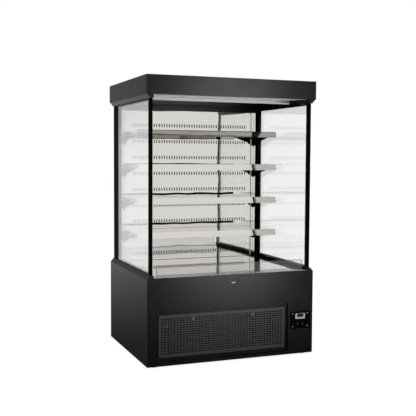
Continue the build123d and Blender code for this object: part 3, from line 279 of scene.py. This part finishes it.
def zinc_plate():
    """Bright zinc plate on steel: a cool grey shine, clouded in patches a few millimetres wide."""
    material, tree, shader, place = new_finish("zinc_plated_steel", Metallic=1.0)
    spangle = add_node(tree, "ShaderNodeTexVoronoi", Vector=place, Scale=cells(3)).outputs["Distance"]
    vary_surface(tree, shader, spangle, ("B4B6B8", "D2D4D6"), (0.24, 0.38))
    return material


def stucco_steel():
    """Dark coated steel skin of the foam walls, rolled with low stucco domes that break up the shine, with
    painted shade in the hollows between them.
    """
    material, tree, shader, place = new_finish("stucco_embossed_dark_steel", Specular_IOR_Level=0.35)
    domes = add_node(
        tree, "ShaderNodeTexVoronoi", {"feature": "SMOOTH_F1"},
        Vector=place, Scale=cells(7), Smoothness=0.6,
    ).outputs["Distance"]
    # Painted shade: the dome tops are a little lighter and the hollows between them darker.
    vary_surface(tree, shader, domes, ("2C2D2F", "232426"), (0.34, 0.44))
    bump = add_node(
        tree, "ShaderNodeBump", {"invert": True}, Height=domes, Distance=0.5 * MM, Strength=0.6
    )
    tree.links.new(bump.outputs["Normal"], shader.inputs["Normal"])
    return material


def anodised_aluminium():
    """Extruded aluminium, satin anodised: silky, with fine die lines along its length."""
    material, tree, shader, place = new_finish("satin_anodised_aluminium", Metallic=1.0)
    stretched = add_node(tree, "ShaderNodeMapping", Vector=place, Scale=(0.01, 1.0, 1.0))
    lines = add_node(
        tree, "ShaderNodeTexNoise", Vector=stretched.outputs[0], Scale=cells(1.5), Detail=3.0
    ).outputs["Fac"]
    vary_surface(tree, shader, lines, ("D3D4D6", "E4E5E6"), (0.26, 0.36))
    bump = add_node(tree, "ShaderNodeBump", Height=lines, Distance=0.03 * MM, Strength=0.4)
    tree.links.new(bump.outputs["Normal"], shader.inputs["Normal"])
    return material


def coil_fins(name, colours, metallic):
    """Coil fins seen edge on, 2.1 mm apart, with painted shade for the dark air between them."""
    material, tree, shader, place = new_finish(name, Metallic=metallic)
    fins = add_node(
        tree, "ShaderNodeTexWave", {"bands_direction": "X"},
        Vector=place, Scale=bands(2.1), Distortion=0.0,
    ).outputs["Fac"]
    # The first colour is painted shade in the gaps between the fins; the last is the fins' own colour.
    vary_surface(tree, shader, fins, colours, (0.6, 0.4))
    bump = add_node(tree, "ShaderNodeBump", Height=fins, Distance=0.5 * MM, Strength=0.7)
    tree.links.new(bump.outputs["Normal"], shader.inputs["Normal"])
    return material


def opal_polycarbonate():
    """Opal extruded polycarbonate of the lamp's lens: milky white, faintly deeper along its ribs."""
    material, tree, shader, place = new_finish(
        "opal_polycarbonate", Subsurface_Weight=0.3, Subsurface_Radius=(0.004, 0.004, 0.004)
    )
    ribs = add_node(
        tree, "ShaderNodeTexWave", {"bands_direction": "Y"},
        Vector=place, Scale=bands(2.5), Distortion=0.0,
    )
    vary_surface(tree, shader, ribs.outputs["Fac"], ("E9EBEC", "F3F4F4"), (0.28, 0.36))
    return material


def white_polystyrene():
    """White moulded polystyrene of the air straightener: clean, with a slight mottling."""
    material, tree, shader, place = new_finish("white_moulded_polystyrene")
    mottle = add_node(tree, "ShaderNodeTexNoise", Vector=place, Scale=cells(12), Detail=2.0)
    vary_surface(tree, shader, mottle.outputs["Fac"], ("E2E3E2", "ECEDEC"), (0.35, 0.45))
    return material


def silver_blind_cloth():
    """Night blind cloth: plain-woven polyester with a silver-grey coating that still shows its threads."""
    material, tree, shader, place = new_finish("silver_coated_polyester_weave", Sheen_Weight=0.2)
    # The real threads lie 0.6 mm apart; 1.5 mm still shows.
    warp = add_node(
        tree, "ShaderNodeTexWave", {"bands_direction": "X"}, Vector=place, Scale=bands(1.5)
    )
    weft = add_node(
        tree, "ShaderNodeTexWave", {"bands_direction": "Z"}, Vector=place, Scale=bands(1.5)
    )
    weave = add_node(
        tree, "ShaderNodeMath", {"operation": "MULTIPLY"},
        in_0=warp.outputs["Fac"], in_1=weft.outputs["Fac"],
    ).outputs[0]
    vary_surface(tree, shader, weave, ("A7A9AC", "CBCDCF"), (0.55, 0.7))
    bump = add_node(tree, "ShaderNodeBump", Height=weave, Distance=0.2 * MM, Strength=0.6)
    tree.links.new(bump.outputs["Normal"], shader.inputs["Normal"])
    return material


def black_enamel():
    """Black stoving enamel on the machine parts: glossy, with a fine pebble where it ran."""
    material, tree, shader, place = new_finish("black_stoving_enamel")
    pebble = add_node(
        tree, "ShaderNodeTexNoise", Vector=place, Scale=cells(5), Detail=2.0
    ).outputs["Fac"]
    vary_surface(tree, shader, pebble, ("0F0F10", "19191A"), (0.18, 0.3))
    bump = add_node(tree, "ShaderNodeBump", Height=pebble, Distance=0.15 * MM, Strength=0.5)
    tree.links.new(bump.outputs["Normal"], shader.inputs["Normal"])
    return material


def glass_filled_nylon():
    """Glass-filled nylon of the fan blades: dull black with pale fibre swirls."""
    material, tree, shader, place = new_finish("glass_filled_black_nylon")
    swirl = add_node(
        tree, "ShaderNodeTexNoise", Vector=place, Scale=cells(8), Detail=5.0, Distortion=1.5
    )
    vary_surface(tree, shader, swirl.outputs["Fac"], ("1A1A1B", "2A2A2B"), (0.45, 0.6))
    return material


def drawn_copper():
    """Drawn copper tube: warm and bright, browned in patches by handling and brazing."""
    material, tree, shader, place = new_finish("drawn_copper_tube", Metallic=1.0)
    patina = add_node(tree, "ShaderNodeTexNoise", Vector=place, Scale=cells(25), Detail=4.0)
    vary_surface(tree, shader, patina.outputs["Fac"], ("8F5435", "D98E67"), (0.4, 0.22))
    return material


def gasket_rubber():
    """Black EPDM rubber of the seals, also given to the painted shade strips behind the shelf lips: dull and
    dense, with faint extrusion lines.
    """
    material, tree, shader, place = new_finish("black_epdm_rubber", Specular_IOR_Level=0.03)
    lines = add_node(tree, "ShaderNodeTexNoise", Vector=place, Scale=cells(3), Detail=2.0)
    vary_surface(tree, shader, lines.outputs["Fac"], ("0D0D0D", "171717"), (0.6, 0.75))
    return material


def smoked_window():
    """Smoked acrylic of the controller's display: near black and glossy, with fine wiping marks."""
    material, tree, shader, place = new_finish("smoked_acrylic", IOR=1.49)
    wipe = add_node(tree, "ShaderNodeTexNoise", Vector=place, Scale=cells(9), Detail=4.0)
    vary_surface(tree, shader, wipe.outputs["Fac"], ("101114", "1A1B20"), (0.06, 0.16))
    return material


MIRROR_ROUGHNESS = (0.015, 0.04)


def paint_frame():
    """Gives every CAD node the finish of its slot in the record, or a closer one of its own.

    Returns the finishes by slot, for the pieces that are added to the frame.
    """
    aluminium = anodised_aluminium()
    finishes = {
        "black_powder_coat": black_powder_coat("satin_black_powder_coat", gloss=0.075),
        "black_plastic": black_moulded_plastic(),
        "silver_plastic": silver_lacquer(),
        "screw_steel": zinc_plate(),
        "stainless": stainless_sheet("bright_annealed_stainless_sheet", 2.0, MIRROR_ROUGHNESS),
        "foam_wall": stucco_steel(),
        "clear_glass": float_glass(),
        "clear_acrylic": riser_glass(),
        "aluminium": aluminium,
        "milky_plastic": opal_polycarbonate(),
        "blind_fabric": silver_blind_cloth(),
        "machine_steel": black_enamel(),
        "fan_plastic": glass_filled_nylon(),
        "copper": drawn_copper(),
    }
    # The evaporator keeps its mill finish; the condenser's fins are painted black, and their near black also
    # stands in as painted shade for the dark compartment behind the grille.
    closer = {
        "deck_pan": stainless_sheet("bright_stainless_tray", 0.3, MIRROR_ROUGHNESS),
        "front_ledge": stainless_sheet("satin_stainless_nose", 0.3, (0.24, 0.32)),
        "grille_panel": graphite_coat(),
        "condenser_coil": coil_fins("black_fins_and_painted_shade", ("060606", "141415"), metallic=0.0),
        "evaporator_coil": coil_fins("mill_finish_aluminium_fins", ("3A3B3C", "C6C8CA"), metallic=1.0),
        "honeycomb_outlet": white_polystyrene(),
        "lamp_housing": aluminium,
    }
    # The flat black of the posts, brackets and control plate is duller than the panels' coat.
    flat_coat = black_powder_coat("flat_black_powder_coat", gloss=0.001)
    flat_nodes = ["control_plate"]
    flat_nodes += [f"{end}_post_{side}" for end in ("front", "rear") for side, _ in SIDES]
    flat_nodes += [f"shelf_brackets_{number}" for number in SHELVES]
    closer.update(dict.fromkeys(flat_nodes, flat_coat))
    for part in frame["record"]["subparts"]:
        node = frame["nodes"][part["node"]]
        node.data.materials.clear()
        node.data.materials.append(closer.get(part["node"], finishes[part["material_slot"]]))
    return finishes


# ---------------------------------------------------------------- modelling helpers
def start_piece():
    """Leaves edit mode and deselects everything, so that an operator acts on the new piece alone."""
    if bpy.context.object and bpy.context.object.mode != "OBJECT":
        bpy.ops.object.mode_set(mode="OBJECT")
    bpy.ops.object.select_all(action="DESELECT")


def finish_piece(piece, name, material, body):
    """Names the piece, puts its place into its mesh, gives it its finish and sets it on its body, if any."""
    piece.name = name
    piece.data.name = name
    bpy.ops.object.transform_apply(location=True, rotation=True, scale=True)
    piece.data.materials.clear()
    piece.data.materials.append(material)
    if body:
        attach(piece, body)


def apply_modifier(piece, kind, **settings):
    """Adds a modifier with its settings and applies it."""
    modifier = piece.modifiers.new(kind.lower(), kind)
    for name, value in settings.items():
        setattr(modifier, name, value)
    bpy.ops.object.modifier_apply(modifier=modifier.name)


def add_block(low, high):
    """A block between two corners, as the start of a piece."""
    start_piece()
    low, high = Vector(low), Vector(high)
    bpy.ops.mesh.primitive_cube_add(size=1.0, location=(low + high) / 2)
    piece = bpy.context.object
    piece.scale = high - low
    bpy.ops.object.transform_apply(location=False, rotation=False, scale=True)
    return piece


def select_faces(piece, wanted):
    """In edit mode, selects the faces whose normal answers the question."""
    bpy.ops.object.mode_set(mode="EDIT")
    bpy.ops.mesh.select_mode(type="FACE")
    bpy.ops.mesh.select_all(action="DESELECT")
    bpy.ops.object.mode_set(mode="OBJECT")
    for face in piece.data.polygons:
        face.select = wanted(face.normal)
    bpy.ops.object.mode_set(mode="EDIT")


# ---------------------------------------------------------------- trim the frame doesn't hold
def add_badge(material):
    """Plain oval plate on the front panel, domed, with nothing on it."""
    half_width, half_height, thickness = 15 * MM, 5 * MM, 1.6 * MM
    middle_z = 0.534
    panel_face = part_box("base_front_panel")[0].y
    start_piece()
    bpy.ops.mesh.primitive_cylinder_add(
        vertices=48, radius=1.0, depth=1.0,
        location=(0.0, panel_face - thickness / 2, middle_z), rotation=(math.pi / 2, 0, 0),
    )
    piece = bpy.context.object
    piece.scale = (half_width, half_height, thickness)
    bpy.ops.object.transform_apply(location=False, rotation=True, scale=True)
    select_faces(piece, lambda normal: normal.y < -0.9)
    for step_in, step_out in ((0.9 * MM, 0.3 * MM), (1.4 * MM, 0.25 * MM)):
        bpy.ops.mesh.inset(thickness=step_in, depth=step_out)
    bpy.ops.object.mode_set(mode="OBJECT")
    apply_modifier(piece, "BEVEL", width=0.2 * MM, segments=2, limit_method="ANGLE")
    bpy.ops.object.shade_smooth_by_angle(angle=math.radians(35))
    finish_piece(piece, "front_badge", material, "cabinet")


def add_painted_shade_strips(material):
    """Black strip along the back of each shelf's upstand: painted shade, a dark sheet where the back of the
    lip lies in shade.
    """
    upstand_back = 12.4 * MM
    thickness = 3.0 * MM
    end_gap, top_gap, foot_depth = 2 * MM, 0.3 * MM, 7.4 * MM
    for number in SHELVES:
        low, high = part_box(f"shelf_{number}")
        near = low.y + upstand_back
        piece = add_block(
            (low.x + end_gap, near, high.z - foot_depth),
            (high.x - end_gap, near + thickness, high.z - top_gap),
        )
        apply_modifier(piece, "BEVEL", width=0.8 * MM, segments=2)
        finish_piece(piece, f"painted_shade_strip_{number}", material, f"shelf_{number}_body")


def add_gaskets(material):
    """Thin rubber frame over the edge of each outer pane, where it meets the posts and rails."""
    rim, rear_rim = 5 * MM, 30 * MM
    inner_face, outer_face = 0.1 * MM, 1.7 * MM
    for side, outward in SIDES:
        low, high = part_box(f"side_glass_{side}")
        pane_x = high.x if outward > 0 else low.x
        left_x, right_x = sorted((pane_x + outward * inner_face, pane_x + outward * outer_face))
        piece = add_block((left_x, low.y, low.z), (right_x, high.y, high.z))
        select_faces(piece, lambda normal: abs(normal.x) > 0.9)
        bpy.ops.mesh.inset(thickness=rim)
        # The edge seal is wider along the rear post.
        even_opening = high.y - low.y - 2 * rim
        opening = high.y - low.y - rim - rear_rim
        bpy.ops.transform.resize(
            value=(1, opening / even_opening, 1), center_override=(pane_x, low.y + rim, 0)
        )
        bpy.ops.mesh.bridge_edge_loops()
        bpy.ops.object.mode_set(mode="OBJECT")
        apply_modifier(piece, "BEVEL", width=0.4 * MM, segments=2, limit_method="ANGLE")
        finish_piece(piece, f"glass_gasket_{side}", material, "cabinet")


def add_glazing_beads(material):
    """Black profile clipped over the inner leg of each glass rail, with a lip that reaches to the pane."""
    clip_inside, clip_outside = 4.9 * MM, 3.6 * MM
    ledge_gap, deck_gap, rail_cover = 1.5 * MM, 0.6 * MM, 0.4 * MM
    lip_reach, lip_rise = 3.2 * MM, 0.9 * MM
    deck_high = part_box("deck_pan")[1]
    ledge_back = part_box("front_ledge")[1].y
    for side, outward in SIDES:
        rail_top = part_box(f"base_side_panel_{side}")[1].z
        glass_low, glass_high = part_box(f"side_glass_{side}")
        pane_x = glass_low.x if outward > 0 else glass_high.x
        left_x, right_x = sorted((pane_x - outward * clip_inside, pane_x - outward * clip_outside))
        piece = add_block(
            (left_x, ledge_back + ledge_gap, deck_high.z + deck_gap),
            (right_x, deck_high.y, rail_top + rail_cover),
        )
        select_faces(piece, lambda normal: normal.z > 0.9)
        bpy.ops.mesh.extrude_region_move(
            TRANSFORM_OT_translate={"value": (outward * lip_reach, 0, lip_rise)}
        )
        bpy.ops.object.mode_set(mode="OBJECT")
        apply_modifier(piece, "BEVEL", width=0.3 * MM, segments=2, limit_method="ANGLE")
        finish_piece(piece, f"glazing_bead_{side}", material, "cabinet")


def add_display(material):
    """The controller's smoked window, blank and open at the top, so that the bezel shows as a U around it."""
    left_rim, right_rim = 13 * MM, 12 * MM
    lower_rim, upper_rim = 12 * MM, 1.0 * MM
    proud, sunk = 0.4 * MM, 0.6 * MM
    low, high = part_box("controller")
    piece = add_block(
        (low.x + left_rim, low.y - proud, low.z + lower_rim),
        (high.x - right_rim, low.y + sunk, high.z - upper_rim),
    )
    select_faces(piece, lambda normal: normal.y < -0.9)
    bpy.ops.mesh.inset(thickness=1.2 * MM, depth=-0.15 * MM)
    bpy.ops.object.mode_set(mode="OBJECT")
    apply_modifier(piece, "BEVEL", width=0.12 * MM, segments=2)
    finish_piece(piece, "display_window", material, "cabinet")


def add_blind_cloth(material):
    """The strip of night blind between its roller and the pull bar, as one fixed sheet; the real cloth
    lengthens as the bar comes down.
    """
    low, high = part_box("blind_cloth")
    middle = (low + high) / 2
    start_piece()
    bpy.ops.mesh.primitive_grid_add(
        x_subdivisions=40, y_subdivisions=24, size=1.0, location=middle, rotation=(math.pi / 2, 0, 0)
    )
    piece = bpy.context.object
    piece.scale = (high.x - low.x, high.z - low.z, 1.0)
    bpy.ops.object.transform_apply(location=True, rotation=True, scale=True)
    apply_modifier(piece, "SOLIDIFY", thickness=0.5 * MM, offset=0.0)
    finish_piece(piece, "night_blind_cloth", material, None)
    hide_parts("blind_cloth")
    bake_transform(piece)


# ---------------------------------------------------------------- studio
# Strength of the white world where it only lights the fridge, and its share left in the two greyer parts.
FILL_LIGHT = 0.75
RIGHT_CORNER_SHARE = 0.55
BACK_WALL_SHARE = 0.5


def set_world():
    """White surroundings, a little dimmer where they only light the fridge, and greyer in two parts."""
    world = bpy.data.worlds.new("white_studio")
    scene.world = world
    world.use_nodes = True
    tree = world.node_tree
    tree.nodes.clear()
    path = add_node(tree, "ShaderNodeLightPath")
    seen = add_node(
        tree, "ShaderNodeMath", {"operation": "ADD"},
        in_0=path.outputs["Is Camera Ray"], in_1=path.outputs["Is Glossy Ray"],
    )
    shown = add_node(
        tree, "ShaderNodeMath", {"operation": "ADD", "use_clamp": True},
        in_0=seen.outputs[0], in_1=path.outputs["Is Transmission Ray"],
    )
    strength = add_node(
        tree, "ShaderNodeMapRange", Value=shown.outputs[0], To_Min=FILL_LIGHT, To_Max=1.0
    )
    aim = add_node(tree, "ShaderNodeTexCoord").outputs["Generated"]
    toward = add_node(tree, "ShaderNodeSeparateXYZ", in_0=aim)

    # High on the right the studio is greyer, as the right ends of the shelf lips show.
    right = add_node(
        tree, "ShaderNodeMapRange", Value=toward.outputs["X"], From_Min=0.405, From_Max=0.425
    )
    high = add_node(
        tree, "ShaderNodeMapRange", Value=toward.outputs["Z"], From_Min=0.25, From_Max=0.35
    )
    corner = add_node(
        tree, "ShaderNodeMath", {"operation": "MULTIPLY"},
        in_0=right.outputs["Result"], in_1=high.outputs["Result"],
    )
    unseen = add_node(
        tree, "ShaderNodeMath", {"operation": "SUBTRACT"}, in_0=1.0, in_1=path.outputs["Is Camera Ray"]
    )
    corner_grey = add_node(
        tree, "ShaderNodeMath", {"operation": "MULTIPLY"}, in_0=corner.outputs[0], in_1=unseen.outputs[0]
    )
    corner_level = add_node(
        tree, "ShaderNodeMapRange", Value=corner_grey.outputs[0], To_Min=1.0, To_Max=RIGHT_CORNER_SHARE
    )

    # Behind the fridge it is greyer above the floor's far edge, as the canopy's left side shows.
    behind = add_node(
        tree, "ShaderNodeMapRange", Value=toward.outputs["Y"], From_Min=0.3, From_Max=0.6
    )
    above = add_node(
        tree, "ShaderNodeMapRange", Value=toward.outputs["Z"], From_Min=0.0, From_Max=0.06
    )
    back_wall = add_node(
        tree, "ShaderNodeMath", {"operation": "MULTIPLY"},
        in_0=behind.outputs["Result"], in_1=above.outputs["Result"],
    )
    opaque = add_node(
        tree, "ShaderNodeMath", {"operation": "SUBTRACT", "use_clamp": True},
        in_0=path.outputs["Is Glossy Ray"], in_1=path.outputs["Is Transmission Ray"],
    )
    wall_grey = add_node(
        tree, "ShaderNodeMath", {"operation": "MULTIPLY"},
        in_0=back_wall.outputs[0], in_1=opaque.outputs[0],
    )
    wall_level = add_node(
        tree, "ShaderNodeMapRange", Value=wall_grey.outputs[0], To_Min=1.0, To_Max=BACK_WALL_SHARE
    )

    dimming = add_node(
        tree, "ShaderNodeMath", {"operation": "MULTIPLY"},
        in_0=corner_level.outputs["Result"], in_1=wall_level.outputs["Result"],
    )
    level = add_node(
        tree, "ShaderNodeMath", {"operation": "MULTIPLY"},
        in_0=strength.outputs["Result"], in_1=dimming.outputs[0],
    )
    light = add_node(tree, "ShaderNodeBackground", Color=WHITE, Strength=level.outputs[0])
    output = add_node(tree, "ShaderNodeOutputWorld")
    tree.links.new(light.outputs[0], output.inputs["Surface"])


# The floor's own white glow, and its share of what the camera sees; the rest keeps the fridge's shadow.
FLOOR_GLOW = 1.12
GLOW_SHARE = 0.8
# How bright the fridge's gloss shows the floor, from beside the fridge to some metres off; the dark part
# beside it is a painted shadow.
NEAR_FLOOR, NEAR_REACH = 0.12, 0.7
FAR_FLOOR, FAR_REACH = 1.0, 5.5


def pale_floor():
    """Matte white studio floor that shows as white, with a faint shadow left on it."""
    material = bpy.data.materials.new("white_studio_floor")
    material.use_nodes = True
    tree = material.node_tree
    tree.nodes.clear()
    path = add_node(tree, "ShaderNodeLightPath")
    shown = add_node(
        tree, "ShaderNodeMath", {"operation": "ADD", "use_clamp": True},
        in_0=path.outputs["Is Camera Ray"], in_1=path.outputs["Is Transmission Ray"],
    )
    share = add_node(
        tree, "ShaderNodeMath", {"operation": "MULTIPLY"}, in_0=shown.outputs[0], in_1=GLOW_SHARE
    )
    matte = add_node(tree, "ShaderNodeBsdfDiffuse", Color=srgb("F4F4F4"))
    glow = add_node(tree, "ShaderNodeEmission", Color=WHITE, Strength=FLOOR_GLOW)
    seen = add_node(
        tree, "ShaderNodeMixShader", in_0=share.outputs[0], in_1=matte.outputs[0], in_2=glow.outputs[0]
    )
    # A painted shadow that only the fridge's gloss shows: the floor glows dark beside it and white some metres
    # off.
    place = add_node(tree, "ShaderNodeTexCoord").outputs["Object"]
    reach = add_node(tree, "ShaderNodeVectorMath", {"operation": "LENGTH"}, in_0=place)
    painted_shadow_fade = add_node(
        tree, "ShaderNodeMapRange", Value=reach.outputs["Value"],
        From_Min=NEAR_REACH, From_Max=FAR_REACH, To_Min=NEAR_FLOOR, To_Max=FAR_FLOOR,
    )
    mirrored = add_node(tree, "ShaderNodeEmission", Color=WHITE, Strength=painted_shadow_fade.outputs["Result"])
    # Rays through glass count as glossy too, and for them the floor stays white.
    opaque = add_node(
        tree, "ShaderNodeMath", {"operation": "SUBTRACT", "use_clamp": True},
        in_0=path.outputs["Is Glossy Ray"], in_1=path.outputs["Is Transmission Ray"],
    )
    choice = add_node(
        tree, "ShaderNodeMixShader",
        in_0=opaque.outputs[0], in_1=seen.outputs[0], in_2=mirrored.outputs[0],
    )
    output = add_node(tree, "ShaderNodeOutputMaterial")
    tree.links.new(choice.outputs[0], output.inputs["Surface"])
    return material


def add_floor():
    """Large pale floor under the fridge."""
    start_piece()
    bpy.ops.mesh.primitive_plane_add(size=40.0, location=(0, 0, 0))
    floor = bpy.context.object
    floor.name = "studio_floor"
    floor.data.materials.append(pale_floor())


def add_softbox(name, place, target, width, height, watts, only_for=None):
    """A soft rectangular lamp aimed at a point. With only_for, it shows only in those objects' gloss."""
    data = bpy.data.lights.new(name, "AREA")
    data.shape = "RECTANGLE"
    data.size = width
    data.size_y = height
    data.energy = watts
    lamp = bpy.data.objects.new(name, data)
    scene.collection.objects.link(lamp)
    lamp.location = place
    lamp.rotation_euler = (Vector(target) - Vector(place)).to_track_quat("-Z", "Y").to_euler()
    lamp.visible_camera = False
    if only_for:
        lamp.visible_diffuse = False
        lit = bpy.data.collections.new(f"{name}_lights")
        for piece in only_for:
            lit.objects.link(piece)
        lamp.light_linking.receiver_collection = lit


set_camera()
finishes = paint_frame()
rubber = gasket_rubber()
add_badge(finishes["silver_plastic"])
# The dark strips behind the shelf lips are painted shade.
add_painted_shade_strips(rubber)
add_gaskets(rubber)
add_glazing_beads(rubber)
add_display(smoked_window())
add_blind_cloth(finishes["blind_fabric"])
set_world()
add_floor()
coated = [
    frame["nodes"][part["node"]]
    for part in frame["record"]["subparts"]
    if part["material_slot"] == "black_powder_coat"
]
add_softbox(
    "overhead_softbox", place=(-1.0, -1.5, 4.6), target=(0, 0, 0.8), width=3.0, height=3.0, watts=120
)
add_softbox(
    "front_strip_softbox", place=(0.85, -2.6, 1.0), target=(0.0, -0.4, 0.7),
    width=0.8, height=2.6, watts=125, only_for=coated,
)
